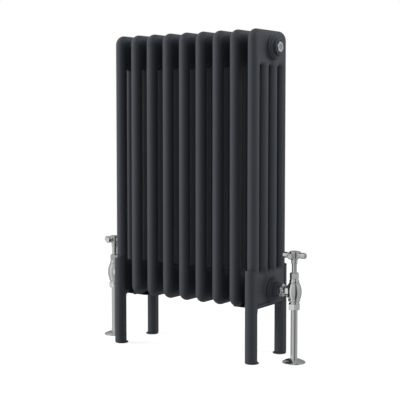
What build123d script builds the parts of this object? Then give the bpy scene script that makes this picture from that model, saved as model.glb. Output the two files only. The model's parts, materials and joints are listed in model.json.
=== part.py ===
"""Four-column steel radiator on slip-on feet, with a pair of cross-head angle valves.

Millimetres. +Z is up, +X runs along the sections to the right and +Y goes to the back. The origin
is on the floor, under the middle of the radiator. Each entry of the dictionary that build_all
returns is one sub-part, written to parts/NAME.step.
"""

import os
from math import cos, radians, sin, sqrt

from build123d import *

# ---------------------------------------------------------------- driving dimensions
SECTIONS = 9
SECTION_PITCH = 45.0  # from one section's middle to the next
SECTION_HEIGHT = 600.0
FLOOR_GAP = 117.0  # from the floor to the underside of the sections
TUBE_D = 25.0
ROWS = 4  # tubes in one section, front to back
ROW_PITCH = 37.0
WALL = 1.2  # sheet of the heads and tubes
HEAD_HEIGHT = 78.0
HEAD_CORNER = 22.0  # rounding of a head's outline at its outer corners
STUB = 4.0  # collar on a head that each tube is welded to
HUB_DROP = 37.5  # from a section's end to the middle of its hub
HUB_R = 27.0
HUB_BORE_R = 21.0  # 1 1/4 inch pipe thread
HUB_HALF = 22.0  # from a section's middle to its hub's face
HUB_FLARE = 2.5
GASKET = 1.0
GASKET_IN_R, GASKET_OUT_R = 21.3, 23.7
THREAD_GAP = 0.05  # radial clearance that stands for a screwed joint
NIPPLE_LENGTH, NIPPLE_IN_R = 30.0, 17.0
BUSH_FLANGE_R, BUSH_FLANGE, BUSH_SHANK = 24.0, 1.6, 14.0
BUSH_BOSS_R, BUSH_BOSS = 18.0, 9.5  # the raised middle, with its height measured from the bush's seat
BUSH_RECESS_R, BUSH_RECESS = 13.4, 4.4  # counterbore that the plug's head sits in
HALF_INCH_R = 10.4  # 1/2 inch pipe thread
PLUG_AF, PLUG_HEAD, PLUG_SHANK = 22.0, 4.4, 9.0
PLUG_TURN = 15.0  # degrees that the plug's hexagon has stopped past square
PLUG_SEAL, PLUG_SEAL_R = 1.2, 11.4
BLEED_R, BLEED_RECESS_R, BLEED_RECESS, BLEED_SQUARE = 2.9, 4.6, 3.6, 5.0

LEG_R, LEG_WALL = 13.5, 0.9
LEG_OUT = 7.0  # the leg's axis stands this far outside the outer tube's axis
LEG_TOP = 202.0
SHELL_LOW, SHELL_BACK = 111.0, 5.0  # where the open shell starts, and how far back its sides run
CUP_TOP = 128.0  # the leg stays a whole tube up to here, cut to the underside of the end section
FOOT_R, FOOT_THICK, FOOT_SHIFT = 15.2, 2.5, 4.0
FIXING_R, FIXING_IN = 2.2, 16.4  # floor screw hole, and its distance inwards from the leg's axis
SHEET_GAP = 0.1  # clearance between the feet and the sections
SADDLE_WALL = 2.0
SADDLE_RIM = 2.5  # the saddle's edges stop this far below its own axis
TONGUE, TONGUE_HALF = 2.0, 42.0
TONGUE_REACH = 62.0  # how far it runs inwards from the end section's middle
STRAP_WIDTH, STRAP = 14.0, 2.5
SCREW_Y, SCREW_R = 36.0, 2.5

VALVE_OUT = 70.0  # from the end section's middle to the valve's axis
PIPE_R, PIPE_WALL = 7.5, 0.7
PIPE_TOP = 137.0
TURN_GAP = 0.1  # radial clearance round the turning spindle
RIGHT_HANDLE_TURN = 7.0  # degrees that the right handle has stopped past square
ARM_R, ARM_REACH, ARM_Z = 5.8, 26.6, 233.0
PLATE_R, PLATE_TOP, PLATE_RIM, PLATE_WALL = 25.0, 8.0, 1.8, 1.2

# ---------------------------------------------------------------- derived dimensions
TUBE_R = TUBE_D / 2
ROW_Y = [(row - (ROWS - 1) / 2) * ROW_PITCH for row in range(ROWS)]
SECTION_X = [(n - (SECTIONS - 1) / 2) * SECTION_PITCH for n in range(SECTIONS)]
END_X = SECTION_X[-1]
OUTER_Y = ROW_Y[-1]
SECTION_TOP = FLOOR_GAP + SECTION_HEIGHT
LOW_HUB_Z = FLOOR_GAP + HUB_DROP
HIGH_HUB_Z = SECTION_TOP - HUB_DROP
BUSH_SEAT_X = END_X + HUB_HALF + GASKET
BUSH_FACE_X = BUSH_SEAT_X + BUSH_BOSS
PLUG_SEAT_X = BUSH_FACE_X - BUSH_RECESS
VALVE_X = END_X + VALVE_OUT
SMALL = 0.001


# ---------------------------------------------------------------- helpers
def lathe(*outline):
    """Turn a closed outline, drawn in radius and height, round the Z axis."""
    return revolve(Plane.XZ * make_face(Curve() + list(outline)), Axis.Z, 360)


def lathe_points(*points):
    """Turn an outline of straight runs through (radius, height) points."""
    return lathe(Polyline(*points, close=True))


def along_x(shape):
    """Lay a shape made round the Z axis along +X."""
    return Rot(0, 90, 0) * shape


def rod(radius, low, high):
    """A round bar on the Z axis."""
    return Pos(0, 0, low) * extrude(Circle(radius), high - low)


def ring(outer, inner, low, high):
    """A straight ring or tube on the Z axis."""
    return Pos(0, 0, low) * extrude(Circle(outer) - Circle(inner), high - low)


def hexagon(across_flats, low, high, bevel_low=0.0, bevel_high=0.0):
    """A hexagonal bar on the Z axis, with its corners turned off at the ends that have a bevel."""
    corner = across_flats / sqrt(3)
    bar = Pos(0, 0, low) * extrude(RegularPolygon(corner, 6), high - low)
    inner = across_flats / 2 - 0.3
    outline = [(0, low), (inner, low) if bevel_low else (corner + 1, low)]
    if bevel_low:
        outline.append((corner + 1, low + bevel_low))
    if bevel_high:
        outline += [(corner + 1, high - bevel_high), (inner, high)]
    else:
        outline.append((corner + 1, high))
    outline.append((0, high))
    return bar & lathe_points(*outline)


def dome(radius, edge, top):
    """The arc of a shallow dome, from its rim to its crown on the Z axis."""
    rise = top - edge
    sphere = (radius**2 + rise**2) / (2 * rise)
    halfway = top - sphere + sqrt(sphere**2 - (radius / 2) ** 2)
    return ThreePointArc((radius, edge), (radius / 2, halfway), (0, top))


def mirrored(shape):
    """The same part for the other end of the radiator."""
    return mirror(shape, about=Plane.YZ)


# ---------------------------------------------------------------- radiator sections
def head_body(inset):
    """The upper head of a section and its four tube collars, shrunk by inset on every side.

    It stands round X 0, with its top at SECTION_TOP. Its edge is a full round of the tube's own
    radius, so that the outer tubes run into it without a step.
    """
    half = TUBE_R - inset
    low = SECTION_TOP - HEAD_HEIGHT + inset
    corner_z = SECTION_TOP - HEAD_CORNER
    corner_y = OUTER_Y + TUBE_R - HEAD_CORNER
    round_at = HEAD_CORNER - TUBE_R  # from the corner's middle to the middle of the round edge
    lower = Plane.XZ * make_face(
        Curve()
        + [
            Line((-half, low + half), (-half, corner_z)),
            Line((-half, corner_z), (half, corner_z)),
            Line((half, corner_z), (half, low + half)),
            ThreePointArc((half, low + half), (0, low), (-half, low + half)),
        ]
    )
    top = SECTION_TOP - inset
    upper = Plane.XZ * make_face(
        Curve()
        + [
            Line((-half, top - half), (-half, corner_z)),
            Line((-half, corner_z), (half, corner_z)),
            Line((half, corner_z), (half, top - half)),
            ThreePointArc((half, top - half), (0, top), (-half, top - half)),
        ]
    )
    body = Pos(0, OUTER_Y, 0) * extrude(lower, 2 * OUTER_Y)
    body += Pos(0, corner_y, 0) * extrude(upper, 2 * corner_y)
    edge = Plane.XZ * make_face(
        Curve()
        + [
            Line((-half, 0), (half, 0)),
            Line((half, 0), (half, round_at)),
            ThreePointArc((half, round_at), (0, round_at + half), (-half, round_at)),
            Line((-half, round_at), (-half, 0)),
        ]
    )
    for side, turn in ((1, -90), (-1, 90)):
        corner = revolve(edge, Axis.X, turn)
        body += Pos(0, side * corner_y, corner_z) * corner
    collar_low = SECTION_TOP - HEAD_HEIGHT - STUB - (SMALL if inset else 0)
    for y in ROW_Y:
        collar_top = corner_z if abs(y) == OUTER_Y else low + half
        body += Pos(0, y, 0) * rod(half, collar_low, collar_top)
    return body


def head():
    """One hollow upper head, with its hub on both sides."""
    flare_r = HUB_R + HUB_FLARE
    flare_x = TUBE_R - 1.0
    bend = HUB_FLARE * (1 - sin(radians(45)))
    hub = lathe(
        Line((0, 0), (flare_r, 0)),
        Line((flare_r, 0), (flare_r, flare_x)),
        ThreePointArc(
            (flare_r, flare_x),
            (HUB_R + bend, flare_x + bend),
            (HUB_R, flare_x + HUB_FLARE),
        ),
        Line((HUB_R, flare_x + HUB_FLARE), (HUB_R, HUB_HALF - 1)),
        Line((HUB_R, HUB_HALF - 1), (HUB_R - 1, HUB_HALF)),
        Line((HUB_R - 1, HUB_HALF), (0, HUB_HALF)),
        Line((0, HUB_HALF), (0, 0)),
    )
    side = Pos(0, 0, HIGH_HUB_Z) * along_x(hub)
    outer = head_body(0) + (side & Pos(0, 0, HIGH_HUB_Z) * Box(80, 54, 54))
    outer += mirrored(side & Pos(0, 0, HIGH_HUB_Z) * Box(80, 54, 54))
    bore = Pos(0, 0, HIGH_HUB_Z) * along_x(rod(HUB_BORE_R, -HUB_HALF, HUB_HALF))
    return outer - head_body(WALL) - bore


def section():
    """One section round X 0: two heads and four tubes, each a solid of its own."""
    top = head()
    middle = FLOOR_GAP + SECTION_HEIGHT / 2
    bottom = Pos(0, 0, 2 * middle) * mirror(top, about=Plane.XY)
    tube_low = FLOOR_GAP + HEAD_HEIGHT + STUB
    tube_high = SECTION_TOP - HEAD_HEIGHT - STUB
    tubes = [Pos(0, y, 0) * ring(TUBE_R, TUBE_R - WALL, tube_low, tube_high) for y in ROW_Y]
    return [top, bottom, *tubes]


def hub_joints():
    """Where two sections' hubs meet."""
    middles = [(a + b) / 2 for a, b in zip(SECTION_X, SECTION_X[1:])]
    return [(x, z) for z in (LOW_HUB_Z, HIGH_HUB_Z) for x in middles]


def hub_nipples():
    """Threaded nipples that draw the sections together."""
    half = NIPPLE_LENGTH / 2
    nipple = along_x(ring(HUB_BORE_R - THREAD_GAP, NIPPLE_IN_R, -half, half))
    return [Pos(x, 0, z) * nipple for x, z in hub_joints()]


def hub_gaskets():
    """Flat rings in every hub joint and under the four end bushes."""
    gasket = along_x(ring(GASKET_OUT_R, GASKET_IN_R, -GASKET / 2, GASKET / 2))
    end_x = BUSH_SEAT_X - GASKET / 2
    ends = [(x, z) for z in (LOW_HUB_Z, HIGH_HUB_Z) for x in (-end_x, end_x)]
    return [Pos(x, 0, z) * gasket for x, z in hub_joints() + ends]


# ---------------------------------------------------------------- bushes and plugs
def bush():
    """Reducing bush for a right-hand end hub, with its axis on X and its middle at Z 0."""
    shank_r = HUB_BORE_R - THREAD_GAP
    bore_r = HALF_INCH_R + THREAD_GAP
    bevel = 1.0
    body = lathe_points(
        (bore_r, -BUSH_SHANK),
        (shank_r, -BUSH_SHANK),
        (shank_r, 0),
        (BUSH_FLANGE_R, 0),
        (BUSH_FLANGE_R, BUSH_FLANGE - 0.5),
        (BUSH_FLANGE_R - 0.5, BUSH_FLANGE),
        (BUSH_BOSS_R + 0.5, BUSH_FLANGE),
        (BUSH_BOSS_R, BUSH_FLANGE + 0.5),
        (BUSH_BOSS_R, BUSH_BOSS - bevel),
        (BUSH_BOSS_R - bevel, BUSH_BOSS),
        (BUSH_RECESS_R + 0.4, BUSH_BOSS),
        (BUSH_RECESS_R, BUSH_BOSS - 0.4),
        (BUSH_RECESS_R, BUSH_BOSS - BUSH_RECESS),
        (bore_r, BUSH_BOSS - BUSH_RECESS),
    )
    return Pos(BUSH_SEAT_X, 0, 0) * along_x(body)


def plug_blank():
    """Hexagon-headed plug round the Z axis, before any bore. Its seal lies on Z 0."""
    neck = rod(HALF_INCH_R, -PLUG_SHANK, PLUG_SEAL)
    head = hexagon(PLUG_AF, PLUG_SEAL, PLUG_SEAL + PLUG_HEAD, bevel_high=1.0)
    return neck + Rot(0, 0, PLUG_TURN) * head


def plug_seal():
    """Soft ring under a plug's head."""
    return along_x(ring(PLUG_SEAL_R, HALF_INCH_R + THREAD_GAP, THREAD_GAP, PLUG_SEAL - THREAD_GAP))


def air_vent_plug():
    """Plug with a water way, a side outlet and a recess for the bleed screw's square."""
    face = PLUG_SEAL + PLUG_HEAD
    body = plug_blank() - rod(BLEED_R + TURN_GAP, -PLUG_SHANK, face)
    body -= rod(BLEED_RECESS_R, face - BLEED_RECESS, face + 1)
    outlet = Pos(0, -BLEED_RECESS_R + 0.5, face - 1.6) * Rot(90, 0, 0) * rod(0.9, 0, PLUG_AF)
    return along_x(body - outlet)


def bleed_screw():
    """Square-ended screw that opens the air vent."""
    face = PLUG_SEAL + PLUG_HEAD
    shoulder = face - BLEED_RECESS + TURN_GAP
    stem = rod(BLEED_R, -PLUG_SHANK + 2, shoulder + 0.6)
    point = lathe_points((0, -PLUG_SHANK), (BLEED_R, -PLUG_SHANK + 2), (0, -PLUG_SHANK + 2))
    square = Pos(0, 0, shoulder) * extrude(Rectangle(BLEED_SQUARE, BLEED_SQUARE), face - shoulder)
    return along_x(stem + point + square)


def blanking_plug():
    """Plain plug with a shallow dished face."""
    face = PLUG_SEAL + PLUG_HEAD
    dish = lathe_points((0, face - 0.8), (5.5, face - 0.8), (6.5, face), (6.5, face + 1), (0, face + 1))
    return along_x(plug_blank() - dish)


# ---------------------------------------------------------------- feet
def shell_outline(radius):
    """A half round with straight sides that run back, round a leg's axis."""
    disc = Circle(radius) + Pos(0, SHELL_BACK / 2) * Rectangle(2 * radius, SHELL_BACK)
    return disc & Pos(0, SHELL_BACK - 2 * radius) * Rectangle(2 * radius, 4 * radius)


def leg_front_right():
    """A round leg whose top is an open shell round the outer tube of the end section."""
    inner_r = LEG_R - LEG_WALL
    foot = Pos(0, FOOT_SHIFT, 0) * lathe_points(
        (0, 0), (FOOT_R - 0.5, 0), (FOOT_R, 0.5), (FOOT_R, 1.2), (FOOT_R - 1.2, FOOT_THICK), (0, FOOT_THICK)
    )
    foot -= Pos(0, FIXING_IN, 0) * rod(FIXING_R, -1, FOOT_THICK + 1)
    under_head = mirror(head_body(-2 * SHEET_GAP), about=Plane.XY)
    under_head = Pos(0, OUTER_Y + LEG_OUT, 2 * FLOOR_GAP + SECTION_HEIGHT) * under_head
    tube = ring(LEG_R, inner_r, FOOT_THICK, CUP_TOP) - under_head
    opening = Pos(0, SHELL_BACK) * Rectangle(2 * inner_r, 2 * SHELL_BACK)
    profile = shell_outline(LEG_R) - Circle(inner_r) - opening
    shell = Pos(0, 0, SHELL_LOW) * extrude(profile, LEG_TOP - SHELL_LOW)
    cut = 6.0  # the shell's top corner is cut back on the outer side
    corner = Pos(LEG_R, 0, LEG_TOP) * Rot(0, 45, 0) * Box(cut, 4 * LEG_R, cut)
    return Pos(END_X, -(OUTER_Y + LEG_OUT), 0) * (foot + tube + (shell - corner))


def foot_saddle_right():
    """Trough under the end section's lower head, welded between its two legs, with a tongue."""
    axis_z = FLOOR_GAP + TUBE_R
    inner_r = TUBE_R + SHEET_GAP
    outer_r = inner_r + SADDLE_WALL
    length = 2 * (OUTER_Y + LEG_OUT)
    trough = ring(outer_r, inner_r, -length / 2, length / 2)
    trough &= Pos(0, -outer_r / 2 - SADDLE_RIM, 0) * Box(3 * outer_r, outer_r, length)
    trough = Pos(0, 0, axis_z) * Rot(90, 0, 0) * trough
    tongue_top = FLOOR_GAP - TURN_GAP
    tongue = Pos(-TONGUE_REACH / 2, 0, tongue_top - TONGUE / 2) * Box(TONGUE_REACH, 2 * TONGUE_HALF, TONGUE)
    tongue = fillet(tongue.edges().filter_by(Axis.Z).group_by(Axis.X)[0], 8)
    tongue -= Pos(0, 0, axis_z) * Rot(90, 0, 0) * rod(inner_r, -length / 2, length / 2)
    body = trough + tongue
    gusset = 9.0
    leg_y = OUTER_Y + LEG_OUT - LEG_R
    under = axis_z - outer_r + 0.5
    profile = Plane.YZ * make_face(
        Curve()
        + [
            Line((leg_y - gusset, under), (leg_y + 2, under)),
            Line((leg_y + 2, under), (leg_y + 2, under - gusset)),
            Line((leg_y + 2, under - gusset), (leg_y, under - gusset)),
            ThreePointArc(
                (leg_y, under - gusset),
                (leg_y - gusset * (1 - cos(radians(45))), under - gusset * (1 - sin(radians(45)))),
                (leg_y - gusset, under),
            ),
        ]
    )
    plate = extrude(profile, 5, both=True)
    body += plate + mirror(plate, about=Plane.XZ)
    hole = rod(SCREW_R + 0.25, 0, FLOOR_GAP + 5)
    for y in (-SCREW_Y, SCREW_Y):
        body -= Pos(-SECTION_PITCH / 2, y, 0) * hole
    body = Pos(END_X, 0, 0) * body
    leg = rod(LEG_R, 0, LEG_TOP) + extrude(shell_outline(LEG_R), LEG_TOP)
    leg = Pos(END_X, -(OUTER_Y + LEG_OUT), 0) * leg
    return body - leg - mirror(leg, about=Plane.XZ)


def foot_strap_right():
    """Strap over the hub between the end section and its neighbour, holding the foot on."""
    inner_r = HUB_R + SHEET_GAP
    outer_r = inner_r + STRAP
    foot_z = FLOOR_GAP - TURN_GAP
    arch = Circle(outer_r) + Pos(0, -outer_r) * Rectangle(2 * outer_r, 2 * outer_r)
    hollow = Circle(inner_r) + Pos(0, -outer_r) * Rectangle(2 * inner_r, 2 * outer_r)
    drop = LOW_HUB_Z - foot_z
    keep = Pos(0, (outer_r - drop) / 2) * Rectangle(4 * outer_r, outer_r + drop)
    reach = SCREW_Y + 7
    feet = Pos(0, -drop + STRAP / 2) * Rectangle(2 * reach, STRAP)
    gap = Pos(0, -drop + STRAP / 2) * Rectangle(2 * inner_r, 2 * STRAP)
    profile = ((arch - hollow) & keep) + (feet - gap)
    strap = extrude(Plane.YZ * profile, STRAP_WIDTH / 2, both=True)
    strap = Pos(END_X - SECTION_PITCH / 2, 0, LOW_HUB_Z) * strap
    for y in (-SCREW_Y, SCREW_Y):
        strap -= Pos(END_X - SECTION_PITCH / 2, y, 0) * rod(SCREW_R + THREAD_GAP, 0, LOW_HUB_Z)
    return strap


def foot_strap_screws():
    """Low-headed screws that pull the straps down on the feet's tongues."""
    under = FLOOR_GAP - TURN_GAP - TONGUE
    head = lathe_points((0, under - 2.2), (3.2, under - 2.2), (4.5, under - 1.2), (4.5, under), (0, under))
    head -= Pos(0, 0, under - 2.2) * extrude(RegularPolygon(1.7, 6), 1.4)
    screw = head + rod(SCREW_R, under, under + 9)
    x = END_X - SECTION_PITCH / 2
    return [Pos(sx * x, y, 0) * screw for sx in (-1, 1) for y in (-SCREW_Y, SCREW_Y)]


# ---------------------------------------------------------------- valves
# Each valve part is made round the Z axis, with the outlet towards -X, and then moved out to the
# valve's axis. Heights are the real ones above the floor.
OUTLET_Z = LOW_HUB_Z
SPIGOT_LOW, SPIGOT_R = 122.0, 9.6
NUT_LOW, NUT_HIGH, NUT_AF = 115.5, 128.4, 24.0
BODY_TOP = 174.0
SEAT_Z = 147.0
SEAT_BORE_R, CHAMBER_R = 5.5, 9.0
OUTLET_BORE_R = 6.5
ARM_END = 31.0  # from the valve's axis to the end of its outlet
ARM_THREAD_R = 11.6
FLARE_R, FLARE_RIM = 14.2, 14.6
UNION_NEAR, UNION_FAR, UNION_AF = 26.4, 37.0, 26.0
TAIL_FLANGE_R, TAIL_FLANGE = 11.5, 2.9
BONNET_LOW, BONNET_SHOULDER, BONNET_TOP = 161.0, 183.0, 188.5
SPINDLE_THREAD_R, SPINDLE_R, SPINDLE_SQUARE = 4.9, 4.1, 5.6
PACKING_LOW, PACKING_OUT_R = 178.5, 6.4
GLAND_TOP, GLAND_AF, GLAND_THREAD_R = 195.5, 17.2, 7.3
GLAND_TURN = 25.0  # degrees that the gland nut has stopped past square
SKIRT_LOW, HUB_LOW, HUB_HIGH = 195.8, 226.8, 240.2
CAP_R, CAP_TOP = 10.7, 243.1


def valve_body():
    """Turned angle body with a swelling middle, a bead below it, and a flared outlet arm."""
    outer = lathe(
        Line((0, SPIGOT_LOW), (SPIGOT_R, SPIGOT_LOW)),
        Line((SPIGOT_R, SPIGOT_LOW), (SPIGOT_R, NUT_HIGH + 0.1)),
        Line((SPIGOT_R, NUT_HIGH + 0.1), (11.8, NUT_HIGH + 0.1)),
        ThreePointArc((11.8, NUT_HIGH + 0.1), (10.7, 130.7), (11.4, 132.9)),
        ThreePointArc((11.4, 132.9), (13.3, 135.6), (12.5, 138.6)),
        Line((12.5, 138.6), (13.6, 139.6)),
        ThreePointArc((13.6, 139.6), (16.1, OUTLET_Z), (12.2, 171.8)),
        ThreePointArc((12.2, 171.8), (11.0, 172.9), (10.9, BODY_TOP)),
        Line((10.9, BODY_TOP), (0, BODY_TOP)),
        Line((0, BODY_TOP), (0, SPIGOT_LOW)),
    )
    neck_r = 9.8
    arm = lathe(
        Line((0, 0), (FLARE_R, 0)),
        Line((FLARE_R, 0), (FLARE_R, FLARE_RIM)),
        ThreePointArc((FLARE_R, FLARE_RIM), (11.0, 17.6), (neck_r, 22.0)),
        Line((neck_r, 22.0), (neck_r, 24.6)),
        Line((neck_r, 24.6), (ARM_THREAD_R, 25.2)),
        Line((ARM_THREAD_R, 25.2), (ARM_THREAD_R, ARM_END)),
        Line((ARM_THREAD_R, ARM_END), (0, ARM_END)),
        Line((0, ARM_END), (0, 0)),
    )
    toward_radiator = Pos(0, 0, OUTLET_Z) * Rot(0, -90, 0)
    body = outer + toward_radiator * arm
    body -= rod(PIPE_R + THREAD_GAP, SPIGOT_LOW - 1, PIPE_TOP + 0.2)
    body -= rod(SEAT_BORE_R, PIPE_TOP, SEAT_Z + 1)
    body -= rod(CHAMBER_R, SEAT_Z, BODY_TOP + 1)
    return body - toward_radiator * rod(OUTLET_BORE_R, 0, ARM_END + 1)


def union_nut():
    """Hexagon nut that pulls the tail piece against the outlet arm."""
    nut = hexagon(UNION_AF, UNION_NEAR, UNION_FAR, 1.6, 1.6)
    shoulder = ARM_END + TAIL_FLANGE + 2 * THREAD_GAP
    nut -= rod(ARM_THREAD_R + THREAD_GAP, UNION_NEAR - 1, shoulder)
    nut -= rod(HALF_INCH_R + THREAD_GAP, shoulder - 1, UNION_FAR + 1)
    return Pos(0, 0, OUTLET_Z) * Rot(0, -90, 0) * nut


def tail_piece():
    """Flanged tail that passes through the union nut and screws into the bush."""
    near = ARM_END + THREAD_GAP
    far = VALVE_X - BUSH_SEAT_X + 4
    tail = lathe_points(
        (OUTLET_BORE_R, near),
        (TAIL_FLANGE_R, near),
        (TAIL_FLANGE_R, near + TAIL_FLANGE),
        (HALF_INCH_R, near + TAIL_FLANGE),
        (HALF_INCH_R, far - 1),
        (HALF_INCH_R - 1, far),
        (OUTLET_BORE_R, far),
    )
    return Pos(0, 0, OUTLET_Z) * Rot(0, -90, 0) * tail


def compression_nut():
    """Hexagon nut with a rounded lower end, gripping the pipe through its olive."""
    nut = hexagon(NUT_AF, NUT_LOW, NUT_HIGH, 3.2, 1.4)
    nut -= rod(PIPE_R + THREAD_GAP, NUT_LOW - 1, NUT_HIGH + 1)
    return nut - rod(SPIGOT_R + THREAD_GAP, NUT_LOW + 2.5, NUT_HIGH + 1)


def olive():
    """Brass ring squeezed on the pipe."""
    low = NUT_LOW + 2.6
    high = SPIGOT_LOW - 0.1
    bore = PIPE_R + 0.02
    return lathe_points((bore, low), (8.6, low), (9.4, low + 1.2), (9.4, high - 1.2), (8.6, high), (bore, high))


def bonnet():
    """Headwork screwed into the body: flared collar, packing chamber and gland thread."""
    shank_r = CHAMBER_R - THREAD_GAP
    foot_z = BODY_TOP + 0.1
    outer = lathe(
        Line((0, BONNET_LOW), (shank_r, BONNET_LOW)),
        Line((shank_r, BONNET_LOW), (shank_r, foot_z)),
        Line((shank_r, foot_z), (10.2, foot_z)),
        ThreePointArc((10.2, foot_z), (10.9, 176.8), (9.7, 180.4)),
        ThreePointArc((9.7, 180.4), (9.1, 181.6), (9.3, BONNET_SHOULDER)),
        Line((9.3, BONNET_SHOULDER), (GLAND_THREAD_R, BONNET_SHOULDER)),
        Line((GLAND_THREAD_R, BONNET_SHOULDER), (GLAND_THREAD_R, BONNET_TOP)),
        Line((GLAND_THREAD_R, BONNET_TOP), (0, BONNET_TOP)),
        Line((0, BONNET_TOP), (0, BONNET_LOW)),
    )
    outer -= rod(SPINDLE_THREAD_R + TURN_GAP, BONNET_LOW - 1, PACKING_LOW)
    return outer - rod(PACKING_OUT_R + THREAD_GAP, PACKING_LOW, BONNET_TOP + 1)


def gland_packing():
    """Soft ring that seals the spindle."""
    return ring(PACKING_OUT_R, SPINDLE_R + TURN_GAP, PACKING_LOW + THREAD_GAP, BONNET_TOP)


def gland_nut():
    """Hexagon nut that presses the packing down."""
    nut = Rot(0, 0, GLAND_TURN) * hexagon(GLAND_AF, BONNET_SHOULDER + 0.1, GLAND_TOP, 0, 1.6)
    nut -= rod(GLAND_THREAD_R + THREAD_GAP, BONNET_SHOULDER, BONNET_TOP + 0.1)
    return nut - rod(SPINDLE_R + TURN_GAP, BONNET_SHOULDER, GLAND_TOP + 1)


def spindle():
    """Screwed spindle that carries the handle and lifts the jumper."""
    thread_low, thread_high = 156.0, 172.0
    stem = rod(SPINDLE_R, 152.0, HUB_HIGH - 8)
    stem += lathe_points(
        (0, thread_low),
        (SPINDLE_R, thread_low),
        (SPINDLE_THREAD_R, thread_low + 0.8),
        (SPINDLE_THREAD_R, thread_high - 0.8),
        (SPINDLE_R, thread_high),
        (0, thread_high),
    )
    stem &= rod(SPINDLE_THREAD_R, 0, HUB_LOW) + Box(SPINDLE_SQUARE, SPINDLE_SQUARE, 1000)
    stem -= rod(2.2, 151.0, 159.0)
    return stem - rod(1.6, HUB_HIGH - 16, HUB_HIGH)


def jumper():
    """Disc that the spindle pushes down, with a stem that slides in the spindle."""
    disc = lathe_points(
        (0, 149.6), (6.6, 149.6), (7.0, 150.0), (7.0, 151.0), (6.4, 151.7), (2.1, 151.7), (2.1, 158.0), (0, 158.6)
    )
    return disc + rod(1.8, 147.6, 150.0)


def seat_washer():
    """Rubber washer on the jumper, closing on the seat."""
    return ring(7.0, 1.9, SEAT_Z + THREAD_GAP, 149.55)


def crosshead():
    """Cross handle: a tapered skirt, a round hub and four round arms."""
    skirt = lathe(
        Line((0, SKIRT_LOW), (5.9, SKIRT_LOW)),
        Line((5.9, SKIRT_LOW), (6.2, SKIRT_LOW + 0.6)),
        Line((6.2, SKIRT_LOW + 0.6), (5.6, SKIRT_LOW + 2.4)),
        Line((5.6, SKIRT_LOW + 2.4), (5.6, 211.0)),
        ThreePointArc((5.6, 211.0), (5.9, 214.2), (6.8, 216.8)),
        Line((6.8, 216.8), (6.8, 222.6)),
        ThreePointArc((6.8, 222.6), (7.8, 225.0), (10.2, HUB_LOW)),
        Line((10.2, HUB_LOW), (11.0, HUB_LOW + 0.8)),
        Line((11.0, HUB_LOW + 0.8), (11.0, HUB_HIGH - 0.8)),
        Line((11.0, HUB_HIGH - 0.8), (10.4, HUB_HIGH)),
        Line((10.4, HUB_HIGH), (0, HUB_HIGH)),
        Line((0, HUB_HIGH), (0, SKIRT_LOW)),
    )
    arm = lathe_points(
        (0, 0),
        (ARM_R - 0.7, 0),
        (ARM_R - 0.7, 14.2),
        (ARM_R, 15.2),
        (ARM_R, ARM_REACH - 1.6),
        (ARM_R - 1.6, ARM_REACH),
        (0, ARM_REACH),
    )
    body = skirt
    for turn in range(4):
        body += Pos(0, 0, ARM_Z) * Rot(0, 0, 90 * turn) * along_x(arm)
    body -= rod(SPINDLE_R + THREAD_GAP, SKIRT_LOW - 1, HUB_LOW)
    square = SPINDLE_SQUARE + 2 * THREAD_GAP
    body -= Pos(0, 0, HUB_LOW) * extrude(Rectangle(square, square), HUB_HIGH - 7.9 - HUB_LOW)
    body -= rod(1.7, HUB_HIGH - 9, HUB_HIGH)
    return body - rod(4.2, HUB_HIGH - 5, HUB_HIGH + 1)


def handle_screw():
    """Screw through the handle's hub into the spindle, under the cap."""
    seat = HUB_HIGH - 5
    screw = rod(3.6, seat, seat + 2.4) + rod(1.55, HUB_HIGH - 15, seat)
    return screw - Pos(0, 0, seat + 1.2) * Box(1.0, 8.0, 2.4)


def handle_cap():
    """Domed disc pushed into the handle's hub."""
    low = HUB_HIGH + THREAD_GAP
    edge = low + 1.1
    disc = lathe(
        Line((0, low), (CAP_R, low)),
        Line((CAP_R, low), (CAP_R, edge)),
        dome(CAP_R, edge, CAP_TOP),
        Line((0, CAP_TOP), (0, low)),
    )
    return disc + rod(4.1, HUB_HIGH - 1.8, low)


def supply_pipe():
    """Plated tube from the floor up into the valve."""
    return ring(PIPE_R, PIPE_R - PIPE_WALL, 0, PIPE_TOP)


def floor_plate():
    """Low domed rosette that slides on the pipe and lies on the floor."""
    bore = PIPE_R + 0.25
    top_r = bore + PLATE_WALL
    under = PLATE_TOP - PLATE_WALL
    return lathe(
        Line((bore, PLATE_TOP), (bore, under - 1)),
        Line((bore, under - 1), (top_r, under - 1)),
        ThreePointArc((top_r, under - 1), (17.6, 3.6), (PLATE_R - PLATE_WALL, 0.4)),
        Line((PLATE_R - PLATE_WALL, 0.4), (PLATE_R - PLATE_WALL, 0)),
        Line((PLATE_R - PLATE_WALL, 0), (PLATE_R, 0)),
        Line((PLATE_R, 0), (PLATE_R, PLATE_RIM)),
        ThreePointArc((PLATE_R, PLATE_RIM), (18.4, 5.3), (top_r, PLATE_TOP)),
        Line((top_r, PLATE_TOP), (bore, PLATE_TOP)),
    )


VALVE_PARTS = {
    "valve_body": valve_body,
    "union_nut": union_nut,
    "tail_piece": tail_piece,
    "compression_nut": compression_nut,
    "olive": olive,
    "bonnet": bonnet,
    "gland_packing": gland_packing,
    "gland_nut": gland_nut,
    "spindle": spindle,
    "jumper": jumper,
    "seat_washer": seat_washer,
    "crosshead": crosshead,
    "handle_screw": handle_screw,
    "handle_cap": handle_cap,
    "supply_pipe": supply_pipe,
    "floor_plate": floor_plate,
}
HANDLE_PARTS = ("spindle", "crosshead", "handle_screw", "handle_cap")


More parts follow.
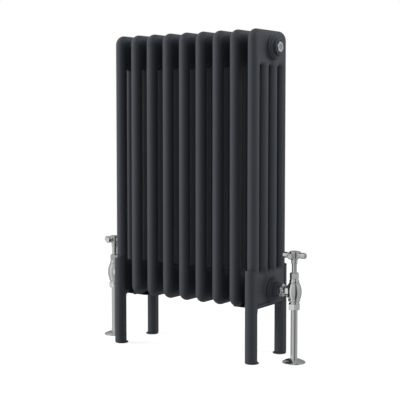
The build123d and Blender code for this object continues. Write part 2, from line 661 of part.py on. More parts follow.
# ---------------------------------------------------------------- the assembly
def build_all():
    """Every sub-part in its place, by node name. A list is one node of several solids."""
    parts = {}
    pieces = section()
    for number, x in enumerate(SECTION_X, start=1):
        parts[f"section_{number}"] = [Pos(x, 0, 0) * piece for piece in pieces]
    parts["hub_nipples"] = hub_nipples()
    parts["hub_gaskets"] = hub_gaskets()

    for level, z in (("top", HIGH_HUB_Z), ("bottom", LOW_HUB_Z)):
        right = Pos(0, 0, z) * bush()
        parts[f"bush_{level}_right"] = right
        parts[f"bush_{level}_left"] = mirrored(right)
    at_seat = Pos(PLUG_SEAT_X, 0, HIGH_HUB_Z)
    parts["air_vent_plug"] = at_seat * air_vent_plug()
    parts["air_vent_bleed_screw"] = at_seat * bleed_screw()
    parts["blanking_plug"] = mirrored(at_seat * blanking_plug())
    seal = at_seat * plug_seal()
    parts["plug_seals"] = [seal, mirrored(seal)]

    leg = leg_front_right()
    rear_leg = mirror(leg, about=Plane.XZ)
    parts["leg_front_right"], parts["leg_front_left"] = leg, mirrored(leg)
    parts["leg_rear_right"], parts["leg_rear_left"] = rear_leg, mirrored(rear_leg)
    saddle, strap = foot_saddle_right(), foot_strap_right()
    parts["foot_saddle_right"], parts["foot_saddle_left"] = saddle, mirrored(saddle)
    parts["foot_strap_right"], parts["foot_strap_left"] = strap, mirrored(strap)
    parts["foot_strap_screws"] = foot_strap_screws()

    for name, make in VALVE_PARTS.items():
        piece = make()
        turn = RIGHT_HANDLE_TURN if name in HANDLE_PARTS else 0
        parts[f"right_{name}"] = Pos(VALVE_X, 0, 0) * Rot(0, 0, turn) * piece
        parts[f"left_{name}"] = mirrored(Pos(VALVE_X, 0, 0) * piece)
    return parts


def main():
    os.makedirs("parts", exist_ok=True)
    for name, shape in build_all().items():
        solids = shape if isinstance(shape, list) else [shape]
        solids = [solid for one in solids for solid in one.solids()]
        export_step(Compound(solids), f"parts/{name}.step")


main()
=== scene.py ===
# %% [markdown]
# # A column radiator with its valves
#
# A steel radiator of nine sections stands on four tubular feet, with a cross-head angle valve and
# a plated pipe at each end. The engineering model is already made and packed. This lesson gives it
# its looks: a finish for every part, softer sheet metal for the sections, and new gaskets and handles.
#
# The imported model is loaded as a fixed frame, and each new piece takes its place from the boxes of
# the parts that it stands for.

# %% Load the frame
import bpy
import json
import numpy as np
from math import cos, pi, radians, sin
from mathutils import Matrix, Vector


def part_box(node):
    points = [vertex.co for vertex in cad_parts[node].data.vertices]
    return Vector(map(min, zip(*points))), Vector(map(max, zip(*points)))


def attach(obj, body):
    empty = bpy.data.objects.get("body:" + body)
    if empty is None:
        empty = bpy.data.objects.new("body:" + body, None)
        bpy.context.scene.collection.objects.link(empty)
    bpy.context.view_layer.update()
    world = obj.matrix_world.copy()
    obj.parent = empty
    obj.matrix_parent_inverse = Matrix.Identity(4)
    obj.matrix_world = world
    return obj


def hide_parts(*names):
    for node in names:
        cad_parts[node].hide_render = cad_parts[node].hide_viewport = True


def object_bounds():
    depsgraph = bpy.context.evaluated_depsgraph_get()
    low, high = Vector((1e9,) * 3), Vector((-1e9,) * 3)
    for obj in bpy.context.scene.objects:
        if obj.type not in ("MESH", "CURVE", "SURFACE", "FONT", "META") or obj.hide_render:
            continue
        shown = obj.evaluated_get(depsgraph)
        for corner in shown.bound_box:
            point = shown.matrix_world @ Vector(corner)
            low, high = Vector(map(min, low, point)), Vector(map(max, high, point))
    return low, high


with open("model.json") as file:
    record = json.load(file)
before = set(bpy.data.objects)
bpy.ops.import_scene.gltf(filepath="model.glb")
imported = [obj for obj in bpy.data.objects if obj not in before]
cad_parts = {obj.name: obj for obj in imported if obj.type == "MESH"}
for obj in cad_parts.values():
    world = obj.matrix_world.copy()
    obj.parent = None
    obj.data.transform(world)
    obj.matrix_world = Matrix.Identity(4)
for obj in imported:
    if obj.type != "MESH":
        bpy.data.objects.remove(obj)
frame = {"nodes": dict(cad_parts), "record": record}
cad_low, cad_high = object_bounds()
MM = 0.001
print("CAD box in mm:", [round(v / MM, 1) for v in (*cad_low, *cad_high)])

# %% [markdown]
# ## Sizes taken from the frame
#
# The sections repeat along X. Their pitch, height, depth and hub length and, with a given drop, the
# levels of the two rows of hubs come from the boxes of the imported parts, so a changed model carries
# its looks along with it.

# %% Read the sizes
SECTION_NAMES = sorted(n for n in frame["nodes"] if n.startswith("section_"))


def middle(node):
    """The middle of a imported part's box."""
    low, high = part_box(node)
    return (low + high) / 2


first_low, first_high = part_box(SECTION_NAMES[0])
SECTION_PITCH = middle(SECTION_NAMES[1]).x - middle(SECTION_NAMES[0]).x
FIRST_X = middle(SECTION_NAMES[0]).x
SECTION_LOW, SECTION_TOP = first_low.z, first_high.z
SECTION_HALF_Y = first_high.y
HUB_HALF = (first_high.x - first_low.x) / 2
HUB_DROP = 37.5 * MM
LOW_HUB_Z, HIGH_HUB_Z = SECTION_LOW + HUB_DROP, SECTION_TOP - HUB_DROP
print("sections:", len(SECTION_NAMES), "pitch", round(SECTION_PITCH / MM, 2), "mm, height",
      round((SECTION_TOP - SECTION_LOW) / MM, 1), "mm")

# %% [markdown]
# ## Camera
#
# A long lens a little over two metres away keeps the uprights nearly parallel, as in a catalogue
# picture. The camera looks slightly down, and a small downward shift frames the feet without
# tilting further, which would make the uprights lean.

# %% Place the camera
camera = bpy.data.objects.new("camera", bpy.data.cameras.new("camera"))
bpy.context.scene.collection.objects.link(camera)
camera.location = (1.2854, -1.8510, 0.5257)
camera.rotation_euler = (radians(90 - 3.542), 0, radians(34.707))
camera.data.lens = 89.08
camera.data.sensor_width = 36
camera.data.shift_y = -0.05
bpy.context.scene.camera = camera
bpy.context.scene.view_settings.view_transform = "Standard"
print("camera is", round(camera.location.length, 2), "m from the origin")

# %% [markdown]
# ## A small helper for node trees
#
# Materials, the world and Geometry Nodes are all trees of nodes. This helper adds one node, fills
# in its inputs by name or number, and links an input when it is given another node's output. The
# trees below then read like short sentences.


# %% Helper for nodes
def add(tree, kind, inputs=None, **settings):
    """One new node, with its settings and its inputs filled in or linked."""
    node = tree.nodes.new(kind)
    for name, value in settings.items():
        setattr(node, name, value)
    for key, value in (inputs or {}).items():
        socket = node.inputs[key]
        if isinstance(value, bpy.types.NodeSocket):
            tree.links.new(value, socket)
        else:
            socket.default_value = value
    return node


def calculate(tree, operation, *values):
    """A Math node's result."""
    return add(tree, "ShaderNodeMath", dict(enumerate(values)), operation=operation).outputs[0]


# %% [markdown]
# ## World
#
# Chrome has no colour of its own: it shows the room. The room here is a mid grey studio with one
# bright panel at the left in front, a dark gap at the right in front, and a dimmer back. The panel
# draws the bright band down a plated pipe and the gap draws the dark one. The camera itself sees
# plain white.

# %% Build the studio round the object
world = bpy.data.worlds.new("studio")
bpy.context.scene.world = world
world.use_nodes = True
sky = world.node_tree
sky.nodes.clear()
direction = add(sky, "ShaderNodeSeparateXYZ",
                {0: add(sky, "ShaderNodeTexCoord").outputs["Generated"]})
around = calculate(sky, "ARCTAN2", direction.outputs["Y"], direction.outputs["X"])


def panel(azimuth, half_width, edge):
    """1 inside a sector of the room, centred on an azimuth in degrees, falling to 0 over its edge."""
    from_middle = calculate(sky, "WRAP", calculate(sky, "SUBTRACT", around, radians(azimuth)), pi, -pi)
    away = calculate(sky, "ABSOLUTE", from_middle)
    shade = add(sky, "ShaderNodeMapRange", {
        "Value": away, "From Min": radians(half_width), "From Max": radians(half_width + edge),
        "To Min": 1.0, "To Max": 0.0}, interpolation_type="SMOOTHSTEP")
    return shade.outputs["Result"]


height = add(sky, "ShaderNodeMapRange", {
    "Value": direction.outputs["Z"], "From Min": -0.6, "From Max": 0.9, "To Min": 0.42, "To Max": 0.56})
bright_panel = calculate(sky, "MULTIPLY", panel(-124, 8, 16), 0.32)
dark_gap = calculate(sky, "MULTIPLY", panel(-30, 9, 14), 0.40)
dark_back = calculate(sky, "MULTIPLY", panel(110, 30, 25), 0.22)
room = calculate(sky, "ADD", height.outputs["Result"], bright_panel)
room = calculate(sky, "SUBTRACT", calculate(sky, "SUBTRACT", room, dark_gap), dark_back)
room = calculate(sky, "MAXIMUM", room, 0.03)
path = add(sky, "ShaderNodeLightPath").outputs
mirrored = calculate(sky, "MULTIPLY_ADD", path["Is Glossy Ray"], 0.6, 0.4)
unseen = add(sky, "ShaderNodeBackground", {
    "Color": (0.97, 0.985, 1.0, 1), "Strength": calculate(sky, "MULTIPLY", room, mirrored)})
seen = add(sky, "ShaderNodeBackground", {"Color": (1, 1, 1, 1), "Strength": 1.0})
either = add(sky, "ShaderNodeMixShader", {0: path["Is Camera Ray"], 1: unseen.outputs[0], 2: seen.outputs[0]})
add(sky, "ShaderNodeOutputWorld", {"Surface": either.outputs[0]})
print("world has", len(sky.nodes), "nodes")

# %% [markdown]
# ## Lights
#
# Three large soft lights do the modelling. The strongest stands at the left and runs a soft edge of
# light down each tube. The second comes from the right and lights the end section, and the third
# lifts the far edges from behind. They are hidden from reflections, so the chrome shows only the
# room.


# %% Hang the lights
def soft_light(name, azimuth, elevation, distance, size, power):
    """A square area light on a sphere round the radiator's middle, facing it."""
    aim = (cad_low + cad_high) / 2
    out = Vector((cos(radians(azimuth)) * cos(radians(elevation)),
                  sin(radians(azimuth)) * cos(radians(elevation)), sin(radians(elevation))))
    lamp = bpy.data.lights.new(name, "AREA")
    lamp.size, lamp.energy = size, power
    light = bpy.data.objects.new(name, lamp)
    bpy.context.scene.collection.objects.link(light)
    light.location = aim + out * distance
    light.rotation_euler = out.to_track_quat("Z", "Y").to_euler()
    light.visible_glossy = False
    light.visible_camera = False
    return light


LIGHTS = [
    soft_light("key_from_left", -150, 22, 2.6, 1.5, 52),
    soft_light("fill_from_right", 14, 34, 1.9, 1.1, 13),
    soft_light("fill_from_back", 105, 35, 2.8, 1.6, 14),
]
print("lights:", [(light.name, light.data.energy) for light in LIGHTS])

# %% [markdown]
# ## Floor
#
# The radiator stands on a plain white disc. To the camera the floor glows a little, which keeps it
# close to white, so only a faint shade gathers where the feet touch it. To everything else it is a
# light grey, because a bright floor would wash out the undersides. It is left out of reflections,
# so the plated pipes mirror the room instead.

# %% Lay the floor
floor_mesh = bpy.data.meshes.new("floor")
REACH, RIM_POINTS = 1.5, 96
rim_angles = [2 * pi * n / RIM_POINTS for n in range(RIM_POINTS)]
rim = [(REACH * cos(a), REACH * sin(a), 0) for a in rim_angles]
floor_mesh.from_pydata(rim, [], [tuple(range(RIM_POINTS))])
floor = bpy.data.objects.new("floor", floor_mesh)
floor.location.z = cad_low.z - 0.0002
floor.visible_glossy = False
bpy.context.scene.collection.objects.link(floor)
floor_finish = bpy.data.materials.new("white floor")
floor_finish.use_nodes = True
floor_shader = floor_finish.node_tree.nodes["Principled BSDF"]
floor_shader.inputs["Base Color"].default_value = (0.38, 0.38, 0.38, 1)
floor_shader.inputs["Roughness"].default_value = 0.9
floor_shader.inputs["Emission Color"].default_value = (1, 1, 1, 1)
to_camera = add(floor_finish.node_tree, "ShaderNodeLightPath").outputs["Is Camera Ray"]
glow = calculate(floor_finish.node_tree, "MULTIPLY", to_camera, 0.83)
floor_finish.node_tree.links.new(glow, floor_shader.inputs["Emission Strength"])
floor_mesh.materials.append(floor_finish)
print("floor reaches", REACH, "m each way")


# %% [markdown]
# ## Finishes
#
# Every finish is a Principled shader with two patterns behind it. A slow noise shifts the colour a
# little. A fine one varies the roughness, as handling and polishing do, and raises the surface by a
# few hundredths of a millimetre at most. A Bevel node rounds sharp edges in the shading, the way
# plating and paint do on a real edge. Patterns are laid on Object coordinates in metres, so a scale
# of 1000 gives features about a millimetre across.


# %% Helper for finishes
def finish(name, light, dark, rough_low, rough_high, slow, fine, relief, edge, metal=0.0, stretch=(1, 1, 1)):
    """A material whose colour and roughness wander between two values, with a fine relief."""
    material = bpy.data.materials.new(name)
    material.use_nodes = True
    tree = material.node_tree
    shader = tree.nodes["Principled BSDF"]
    shader.inputs["Metallic"].default_value = metal
    place = add(tree, "ShaderNodeMapping", {
        "Vector": add(tree, "ShaderNodeTexCoord").outputs["Object"], "Scale": stretch}).outputs["Vector"]
    drift = add(tree, "ShaderNodeTexNoise", {"Vector": place, "Scale": slow, "Detail": 3.0})
    colour = add(tree, "ShaderNodeMix", {"Factor": drift.outputs["Fac"]}, data_type="RGBA")
    colour_inputs = [s for s in colour.inputs if s.type == "RGBA"]
    colour_inputs[0].default_value, colour_inputs[1].default_value = (*dark, 1), (*light, 1)
    tree.links.new([s for s in colour.outputs if s.type == "RGBA"][0], shader.inputs["Base Color"])
    grain = add(tree, "ShaderNodeTexNoise", {"Vector": place, "Scale": fine, "Detail": 2.0})
    rough = add(tree, "ShaderNodeMapRange", {
        "Value": grain.outputs["Fac"], "From Min": 0.3, "From Max": 0.7,
        "To Min": rough_low, "To Max": rough_high})
    tree.links.new(rough.outputs["Result"], shader.inputs["Roughness"])
    rounded = add(tree, "ShaderNodeBevel", {"Radius": edge}, samples=4)
    bump = add(tree, "ShaderNodeBump", {
        "Height": grain.outputs["Fac"], "Distance": relief, "Normal": rounded.outputs["Normal"]})
    tree.links.new(bump.outputs["Normal"], shader.inputs["Normal"])
    return material


# %% [markdown]
# ### Anthracite powder coat
#
# The radiator is blasted, sprayed with dry powder and baked. The powder melts into a satin skin
# with a slight orange peel a millimetre or so across. The colour is a blue-leaning dark grey.

# %% Powder coat
POWDER = finish("anthracite powder coat", (0.085, 0.095, 0.110), (0.075, 0.084, 0.098),
                0.42, 0.52, slow=9, fine=850, relief=0.00003, edge=0.0006)
POWDER.node_tree.nodes["Principled BSDF"].inputs["Specular IOR Level"].default_value = 0.45

# %% [markdown]
# ### Chrome plate
#
# The valves are polished brass under nickel and chrome. The plate is nearly a mirror. Polishing
# leaves a very slight waviness and the plate is a touch duller in patches.

# %% Chrome
CHROME = finish("polished chrome plate", (0.80, 0.80, 0.79), (0.74, 0.745, 0.74),
                0.05, 0.10, slow=40, fine=260, relief=0.000004, edge=0.0004, metal=1.0)

# %% [markdown]
# ### Bare and blackened metals
#
# The working parts inside a valve are plain machined brass, the nipples between the sections are
# plain steel, and the screws under the feet are blackened. Machining marks run round a part, so
# the noise is stretched a little across the axis.

# %% Plain metals
BRASS = finish("machined brass", (0.72, 0.53, 0.26), (0.62, 0.45, 0.21),
               0.22, 0.34, slow=90, fine=900, relief=0.00001, edge=0.0003, metal=1.0, stretch=(1, 1, 2.5))
STEEL = finish("machined steel", (0.50, 0.50, 0.49), (0.40, 0.40, 0.40),
               0.32, 0.46, slow=70, fine=800, relief=0.00001, edge=0.0003, metal=1.0, stretch=(2.5, 1, 1))
BLACK_STEEL = finish("blackened steel", (0.050, 0.050, 0.054), (0.032, 0.032, 0.036),
                     0.34, 0.50, slow=120, fine=900, relief=0.00001, edge=0.0003, metal=0.8)

# %% [markdown]
# ### Gaskets and seals
#
# The rings between the hubs are pressed fibre, speckled and dull. The seals under the plugs are
# black rubber with a faint bloom.

# %% Fibre and rubber
FIBRE = finish("pressed fibre", (0.115, 0.12, 0.115), (0.045, 0.047, 0.046),
               0.75, 0.92, slow=1400, fine=1800, relief=0.00005, edge=0.0002)
RUBBER = finish("black rubber", (0.022, 0.022, 0.022), (0.012, 0.012, 0.012),
                0.45, 0.62, slow=200, fine=1100, relief=0.00002, edge=0.0003)

FINISHES = {
    "anthracite_powder_coat": POWDER, "chrome_plate": CHROME, "brass": BRASS, "plain_steel": STEEL,
    "blackened_steel": BLACK_STEEL, "gasket_fibre": FIBRE, "black_rubber": RUBBER,
}

# %% [markdown]
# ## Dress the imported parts
#
# The record names a finish for every part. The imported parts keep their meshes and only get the
# material in their object's slot, so the shared mesh data stays as it was made.

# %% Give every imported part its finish
for part in frame["record"]["subparts"]:
    node = frame["nodes"][part["node"]]
    if not node.data.materials:
        node.data.materials.append(None)
    for slot in node.material_slots:
        slot.link = "OBJECT"
        slot.material = FINISHES[part["material_slot"]]

# %% [markdown]
# ## Geometry Nodes for what repeats
#
# Sections, gaskets and handle arms repeat by a simple rule. Each rule is a Geometry Nodes tree
# with named inputs. The result is turned into a plain mesh at once, because a plain mesh is what
# other programs can read, and the modifier goes away with its helper object.


# %% Helper for Geometry Nodes
def rule(name, **inputs):
    """An empty tree with a Geometry input and output, and one more input for each named kind."""
    tree = bpy.data.node_groups.new(name, "GeometryNodeTree")
    face = tree.interface
    face.new_socket("Geometry", in_out="INPUT", socket_type="NodeSocketGeometry")
    for label, kind in inputs.items():
        face.new_socket(label, in_out="INPUT", socket_type="NodeSocket" + kind)
    face.new_socket("Geometry", in_out="OUTPUT", socket_type="NodeSocketGeometry")
    return tree, add(tree, "NodeGroupInput").outputs


def close(tree, geometry, material):
    """End a tree: realise the copies and set their material."""
    real = add(tree, "GeometryNodeRealizeInstances", {"Geometry": geometry})
    dressed = add(tree, "GeometryNodeSetMaterial", {"Geometry": real.outputs[0], "Material": material})
    add(tree, "NodeGroupOutput", {"Geometry": dressed.outputs[0]})


def row_of(tree, geometry, count, first, pitch):
    """Copies of the geometry in a straight row."""
    line = add(tree, "GeometryNodeMeshLine", {"Count": count, "Start Location": first, "Offset": pitch})
    return add(tree, "GeometryNodeInstanceOnPoints", {
        "Points": line.outputs[0], "Instance": geometry}).outputs[0]


def grow(name, tree, mesh, **values):
    """Run a tree on a mesh and keep the result as a plain piece at the origin."""
    holder = bpy.data.objects.new(name + "_holder", mesh)
    bpy.context.scene.collection.objects.link(holder)
    modifier = holder.modifiers.new("rule", "NODES")
    sockets = {s.name: s.identifier for s in tree.interface.items_tree if s.in_out == "INPUT"}
    modifier.node_group = tree
    for label, value in values.items():
        modifier[sockets[label]] = value
    holder.update_tag()
    seen_by = bpy.context.evaluated_depsgraph_get()
    result = bpy.data.meshes.new_from_object(holder.evaluated_get(seen_by), depsgraph=seen_by)
    bpy.data.objects.remove(holder)
    piece = bpy.data.objects.new(name, result)
    result.name = name
    bpy.context.scene.collection.objects.link(piece)
    print(name, "has", len(result.polygons), "faces")
    return piece


# %% [markdown]
# ## The shape of one section
#
# A real section is two pressed heads welded to four tubes and ground smooth, so the tubes run into
# the heads without a seam and the gaps between them end in soft arches. A box with cylinders would
# leave hard corners there. Instead the section is described by a distance: how far any point is
# from the finished surface. The flat outline has the three gaps cut out of it, and everything
# within a tube's radius of that outline is metal. Each hub is a short drum that joins the head with
# a fillet.

# %% Describe the surface by a distance
TUBE_R = 12.5
ROW_PITCH = (SECTION_HALF_Y / MM - TUBE_R) * 2 / 3  # four rows of tubes leave three gaps
OUTLINE_Y = SECTION_HALF_Y / MM - TUBE_R
OUTLINE_LOW, OUTLINE_TOP = SECTION_LOW / MM + TUBE_R, SECTION_TOP / MM - TUBE_R
OUTLINE_CORNER = 9.5
HEAD_HEIGHT = 78.0
GAP_LOW, GAP_TOP = SECTION_LOW / MM + HEAD_HEIGHT - TUBE_R, SECTION_TOP / MM - HEAD_HEIGHT + TUBE_R
GAP_HALF, ARCH = ROW_PITCH / 2, 16.0
HUB_R, HUB_EDGE, HUB_FILLET = 27.0, 1.2, 4.5


def rounded_box(u, v, half_u, half_v, corner):
    """Distance from a rectangle with rounded corners, in its own plane."""
    over_u, over_v = np.abs(u) - (half_u - corner), np.abs(v) - (half_v - corner)
    outside = np.hypot(np.maximum(over_u, 0), np.maximum(over_v, 0))
    return outside + np.minimum(np.maximum(over_u, over_v), 0) - corner


def section_distance(x, y, z):
    """Distance from the surface of a section that stands round X 0, in millimetres."""
    mid_z = (OUTLINE_LOW + OUTLINE_TOP) / 2
    sheet = rounded_box(y, z - mid_z, OUTLINE_Y, (OUTLINE_TOP - OUTLINE_LOW) / 2, OUTLINE_CORNER)
    for gap_y in (-ROW_PITCH, 0, ROW_PITCH):
        gap = rounded_box(y - gap_y, z - mid_z, GAP_HALF, (GAP_TOP - GAP_LOW) / 2, ARCH)
        sheet = np.maximum(sheet, -gap)
    metal = np.hypot(np.maximum(sheet, 0), x) - TUBE_R
    nearest_hub = np.where(z > mid_z, HIGH_HUB_Z / MM, LOW_HUB_Z / MM)
    hub = rounded_box(np.hypot(y, z - nearest_hub), x, HUB_R, HUB_HALF / MM, HUB_EDGE)
    near_metal, near_hub = np.maximum(HUB_FILLET - metal, 0), np.maximum(HUB_FILLET - hub, 0)
    return np.maximum(HUB_FILLET, np.minimum(metal, hub)) - np.hypot(near_metal, near_hub)


print("rows of tubes are", round(ROW_PITCH, 2), "mm apart; gaps run from", GAP_LOW, "to", GAP_TOP)

# %% [markdown]
# ## Turn the distance into a skin
#
# Space is cut into small cells. Every cell that the surface passes through gets one point, and
# every grid edge that the surface crosses gets one four-sided face between the four cells round it.
# The points then slide along the slope of the distance until they lie on the surface. Cells are
# small round the heads and long on the straight tubes, where nothing changes along the tube.


# %% Helper that skins a distance
def slope(distance, points, step=0.02):
    """The direction in which the distance grows, at each point."""
    shifts = np.eye(3) * step
    return np.stack([(distance(*(points + s).T) - distance(*(points - s).T)) / (2 * step) for s in shifts], 1)


def skin(distance, grid_x, grid_y, grid_z):
    """Points and four-sided faces of the surface where the distance is 0."""
    value = distance(*np.meshgrid(grid_x, grid_y, grid_z, indexing="ij"))
    inside = value < 0
    counts = [len(g) - 1 for g in (grid_x, grid_y, grid_z)]
    corners = [inside[i:i + counts[0], j:j + counts[1], k:k + counts[2]]
               for i in (0, 1) for j in (0, 1) for k in (0, 1)]
    total = sum(c.astype(int) for c in corners)
    crossed = (total > 0) & (total < 8)
    number = np.full(counts, -1)
    number[crossed] = np.arange(crossed.sum())
    cell = np.argwhere(crossed)
    centres = [(g[1:] + g[:-1]) / 2 for g in (grid_x, grid_y, grid_z)]
    points = np.stack([c[cell[:, axis]] for axis, c in enumerate(centres)], 1)
    faces = []
    for axis in range(3):
        u, v = (axis + 1) % 3, (axis + 2) % 3
        here = np.moveaxis(inside, (axis, u, v), (0, 1, 2))
        cells = np.moveaxis(number, (axis, u, v), (0, 1, 2))
        flips = np.argwhere(here[1:, 1:-1, 1:-1] != here[:-1, 1:-1, 1:-1])
        a, b, c = flips[:, 0], flips[:, 1] + 1, flips[:, 2] + 1
        quad = np.stack([cells[a, b - 1, c - 1], cells[a, b, c - 1], cells[a, b, c], cells[a, b - 1, c]], 1)
        backward = ~here[a, b, c]
        quad[backward] = quad[backward][:, ::-1]
        faces.append(quad)
    return points, np.concatenate(faces)


def settle(distance, points, rounds=6):
    """Slide points onto the surface."""
    for _ in range(rounds):
        rise = slope(distance, points)
        reach = distance(*points.T) / np.maximum((rise ** 2).sum(1), 0.25)
        points = points - rise * np.clip(reach, -2, 2)[:, None]
    return points


# %% [markdown]
# ## One section
#
# The grid is finest where the arches and hubs are. The straight run of tube between the heads
# needs only a few rings.

# %% Skin one section
CELL = 1.8
MARGIN, FINE_TUBE, TUBE_RINGS = 3, 22, 18
both_ends = (SECTION_LOW + SECTION_TOP) / MM
head_cells = np.arange(SECTION_LOW / MM - MARGIN, GAP_LOW + ARCH + FINE_TUBE, CELL)
tube_cells = np.linspace(head_cells[-1], both_ends - head_cells[-1], TUBE_RINGS)[1:-1]
cells_z = np.concatenate([head_cells, tube_cells, (both_ends - head_cells)[::-1]])
half_cells_y = np.arange(CELL / 2, SECTION_HALF_Y / MM + 2 * CELL, CELL)
half_cells_x = np.arange(CELL / 2, HUB_HALF / MM + 2 * CELL, CELL)
cells_y = np.concatenate([-half_cells_y[::-1], half_cells_y])
cells_x = np.concatenate([-half_cells_x[::-1], half_cells_x])
section_points, section_faces = skin(section_distance, cells_x, cells_y, cells_z)
section_points = settle(section_distance, section_points)
error = np.abs(section_distance(*section_points.T)).max()
section_mesh = bpy.data.meshes.new("section_skin")
section_mesh.from_pydata((section_points * MM).tolist(), [], section_faces.tolist())
section_mesh.shade_smooth()
print("section skin:", len(section_faces), "faces, furthest point off by", round(float(error), 4), "mm")

# %% [markdown]
# ## Nine sections in three groups
#
# A radiator is made longer by screwing on more sections, so the rule is a row: how many, how far
# apart and where the first one stands. Three groups of three keep each piece light enough to carry
# into other programs.

# %% Set the sections in a row
row_rule, given = rule("row of sections", Count="Int", Pitch="Float", First="Float", Finish="Material")
step = add(row_rule, "ShaderNodeCombineXYZ", {"X": given["Pitch"]})
start = add(row_rule, "ShaderNodeCombineXYZ", {"X": given["First"]})
copies = row_of(row_rule, given["Geometry"], given["Count"], start.outputs[0], step.outputs[0])
close(row_rule, copies, given["Finish"])

GROUP = 3
for start_at in range(0, len(SECTION_NAMES), GROUP):
    names = SECTION_NAMES[start_at:start_at + GROUP]
    row = grow("sections_" + names[0][-1] + "_to_" + names[-1][-1], row_rule, section_mesh.copy(),
               Count=len(names), Pitch=SECTION_PITCH, First=FIRST_X + start_at * SECTION_PITCH, Finish=POWDER)
    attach(row, "root")
    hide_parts(*names)

# %% [markdown]
# ## A rule for turned parts
#
# Rings, hubs and handle arms are all turned on a lathe. The rule takes an outline drawn in radius
# and height and carries it round the Z axis: a grid is made with one column for each step round and
# one row for each point of the outline, and every grid point is moved to its place. Corners are
# eased first, because a polished or pressed edge is never perfectly sharp.


# %% Helpers for turned parts
def eased(outline, radius, steps=4):
    """The closed outline with every corner rounded off."""
    points = [Vector(p) for p in outline]
    soft = []
    for before, corner, after in zip(points[-1:] + points[:-1], points, points[1:] + points[:1]):
        reach_in = min(radius, 0.4 * (before - corner).length)
        reach_out = min(radius, 0.4 * (after - corner).length)
        start = corner + (before - corner).normalized() * reach_in
        end = corner + (after - corner).normalized() * reach_out
        for n in range(steps + 1):
            t = n / steps
            soft.append((1 - t) ** 2 * start + 2 * t * (1 - t) * corner + t ** 2 * end)
    return soft


def outlines_mesh(name, *outlines):
    """Closed outlines in millimetres as one mesh of loose points, each point marked with its outline."""
    points = [(r * MM, 0, z * MM) for outline in outlines for r, z in (*outline, outline[0])]
    marks = [n for n, outline in enumerate(outlines) for _ in range(len(outline) + 1)]
    mesh = bpy.data.meshes.new(name)
    mesh.from_pydata(points, [], [])
    mesh.attributes.new("outline", "INT", "POINT").data.foreach_set("value", marks)
    return mesh


def turned(tree, geometry, outline, steps):
    """Carry one of the marked outlines round the Z axis, and close the seam."""
    mark = add(tree, "GeometryNodeInputNamedAttribute", {"Name": "outline"}, data_type="INT")
    marked = next(s for s in mark.outputs if s.enabled and s.name == "Attribute")
    wanted = add(tree, "FunctionNodeCompare", {2: marked, 3: outline}, data_type="INT", operation="EQUAL")
    points = add(tree, "GeometryNodeSeparateGeometry", {
        "Geometry": geometry, "Selection": wanted.outputs[0]}, domain="POINT").outputs["Selection"]
    count = add(tree, "GeometryNodeAttributeDomainSize", {"Geometry": points}).outputs["Point Count"]
    grid = add(tree, "GeometryNodeMeshGrid", {"Vertices X": steps + 1, "Vertices Y": count}).outputs["Mesh"]
    index = add(tree, "GeometryNodeInputIndex").outputs[0]
    along = calculate(tree, "MODULO", index, count)
    round_step = calculate(tree, "FLOOR", calculate(tree, "DIVIDE", index, count))
    angle = calculate(tree, "MULTIPLY", round_step, 2 * pi / steps)
    place = add(tree, "GeometryNodeInputPosition").outputs[0]
    sample = add(tree, "GeometryNodeSampleIndex", {
        "Geometry": points, "Index": along}, data_type="FLOAT_VECTOR")
    tree.links.new(place, next(s for s in sample.inputs if s.enabled and s.name == "Value"))
    spot = next(s for s in sample.outputs if s.enabled)
    carried = add(tree, "ShaderNodeVectorRotate", {"Vector": spot, "Angle": angle}, rotation_type="Z_AXIS")
    wrapped = add(tree, "GeometryNodeSetPosition", {"Geometry": grid, "Position": carried.outputs[0]})
    return add(tree, "GeometryNodeMergeByDistance", {
        "Geometry": wrapped.outputs[0], "Distance": 0.01 * MM}).outputs[0]


def moved(tree, geometry, **values):
    """The geometry shifted or turned."""
    return add(tree, "GeometryNodeTransform", {"Geometry": geometry, **values}).outputs[0]


# %% [markdown]
# ## Gaskets in the hub joints
#
# A flat ring of pressed fibre sits in every joint between two hubs, and one more under the bush at
# each end. They stand at the sections' own pitch, in one row for the upper hubs and one for the
# lower.

# %% Set the gaskets in two rows
GASKET, GASKET_IN_R, GASKET_OUT_R = 1.0, 21.3, 23.7
gasket_outline = eased([(GASKET_IN_R, -GASKET / 2), (GASKET_OUT_R, -GASKET / 2),
                        (GASKET_OUT_R, GASKET / 2), (GASKET_IN_R, GASKET / 2)], 0.3)
gaskets_low, gaskets_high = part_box("hub_gaskets")
RING_STEPS = 64
gasket_rule, given = rule("rows of gaskets", Count="Int", Pitch="Float", First="Float",
                          Lower="Float", Upper="Float", Finish="Material")
one_ring = moved(gasket_rule, turned(gasket_rule, given["Geometry"], 0, RING_STEPS), Rotation=(0, pi / 2, 0))
gasket_step = add(gasket_rule, "ShaderNodeCombineXYZ", {"X": given["Pitch"]}).outputs[0]
both_rows = add(gasket_rule, "GeometryNodeJoinGeometry")
for hubs in ("Upper", "Lower"):
    row_start = add(gasket_rule, "ShaderNodeCombineXYZ", {"X": given["First"], "Z": given[hubs]}).outputs[0]
    one_row = row_of(gasket_rule, one_ring, given["Count"], row_start, gasket_step)
    gasket_rule.links.new(one_row, both_rows.inputs[0])
close(gasket_rule, both_rows.outputs[0], given["Finish"])

gaskets = grow("gaskets", gasket_rule, outlines_mesh("gasket outline", gasket_outline),
               Count=len(SECTION_NAMES) + 1, Pitch=SECTION_PITCH, First=gaskets_low.x + GASKET / 2 * MM,
               Lower=LOW_HUB_Z, Upper=HIGH_HUB_Z, Finish=FIBRE)
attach(gaskets, "root")
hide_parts("hub_gaskets")
print("last gasket ends at", round(gaskets_high.x / MM, 1), "mm")

# %% [markdown]
# ## Cross handles
#
# Each handle is turned from brass bar and plated: a slim skirt that hides the spindle, a drum at the
# top, and four round arms screwed into it. The arms repeat round the drum, so the rule makes one arm
# and sets four copies of it at right angles. The right handle has stopped a few degrees past square.
# The heights along each outline are in millimetres above the foot of the skirt, and along an arm they
# are the distance from the middle of the drum.

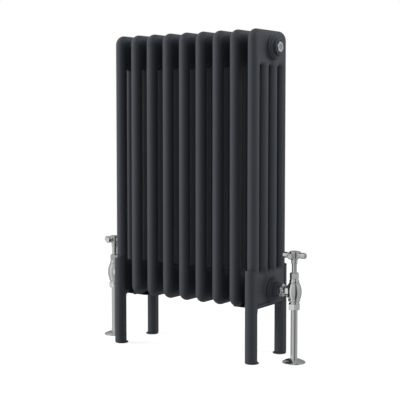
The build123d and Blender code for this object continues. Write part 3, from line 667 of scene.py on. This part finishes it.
# %% Make the two handles
ARM_R, ARM_NECK_R, ARM_ROOT, ARM_REACH = 6.4, 5.5, 6.5, 26.6
BORE_R, SKIRT_R, COLLAR_R, DRUM_R, DRUM_HEIGHT = 4.2, 5.6, 6.8, 11.0, 13.4
ARM_OVER_DRUM_FOOT, CENTRE_MARK = 6.2, 0.01  # an arm's ends are dished to a lathe's centre mark
DRUM_STEPS, ARM_STEPS = 72, 48
HANDLE_TURNS = {"right": 7, "left": 0}  # degrees past square
handle_rule, given = rule("cross handle", Arms="Int", Centre="Vector", ArmHeight="Float", Turn="Float",
                          Finish="Material")
drum = turned(handle_rule, given["Geometry"], 0, DRUM_STEPS)
arm = moved(handle_rule, turned(handle_rule, given["Geometry"], 1, ARM_STEPS), Rotation=(0, pi / 2, 0))
arm_level = add(handle_rule, "ShaderNodeCombineXYZ", {"Z": given["ArmHeight"]}).outputs[0]
roots = add(handle_rule, "GeometryNodeMeshLine", {
    "Count": given["Arms"], "Start Location": arm_level, "Offset": (0, 0, 0)})
share = calculate(handle_rule, "DIVIDE", 2 * pi, given["Arms"])
arm_turn = calculate(handle_rule, "MULTIPLY", add(handle_rule, "GeometryNodeInputIndex").outputs[0], share)
arms = add(handle_rule, "GeometryNodeInstanceOnPoints", {
    "Points": roots.outputs[0], "Instance": arm,
    "Rotation": add(handle_rule, "ShaderNodeCombineXYZ", {"Z": arm_turn}).outputs[0]})
handle = add(handle_rule, "GeometryNodeJoinGeometry")
handle_rule.links.new(drum, handle.inputs[0])
handle_rule.links.new(arms.outputs[0], handle.inputs[0])
whole_turn = add(handle_rule, "ShaderNodeCombineXYZ", {"Z": given["Turn"]}).outputs[0]
close(handle_rule, moved(handle_rule, handle.outputs[0], Translation=given["Centre"], Rotation=whole_turn),
      given["Finish"])

for side, turn in HANDLE_TURNS.items():
    handle_low, handle_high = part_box(side + "_crosshead")
    tall = (handle_high.z - handle_low.z) / MM
    drum_low = tall - DRUM_HEIGHT
    drum_outline = [
        (BORE_R, 0), (5.9, 0), (6.2, 0.6), (SKIRT_R, 2.4), (SKIRT_R, 15.2), (5.9, 18.4), (COLLAR_R, 21.0),
        (COLLAR_R, drum_low - 4.2), (7.8, drum_low - 1.8), (DRUM_R, drum_low), (DRUM_R, tall), (BORE_R, tall)]
    arm_outline = [
        (CENTRE_MARK, ARM_ROOT), (ARM_NECK_R, ARM_ROOT), (ARM_NECK_R, 14.2), (ARM_R, 15.2),
        (ARM_R, ARM_REACH - 1.6), (ARM_R - 1.6, ARM_REACH), (CENTRE_MARK, ARM_REACH)]
    place = Vector((middle(side + "_crosshead").x, middle(side + "_crosshead").y, handle_low.z))
    piece = grow(side + "_cross_handle", handle_rule,
                 outlines_mesh("handle outlines", eased(drum_outline, 0.7), eased(arm_outline, 0.6)),
                 Arms=4, Centre=place, ArmHeight=(drum_low + ARM_OVER_DRUM_FOOT) * MM,
                 Turn=radians(turn), Finish=CHROME)
    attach(piece, side + "_handwheel")
    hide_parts(side + "_crosshead")
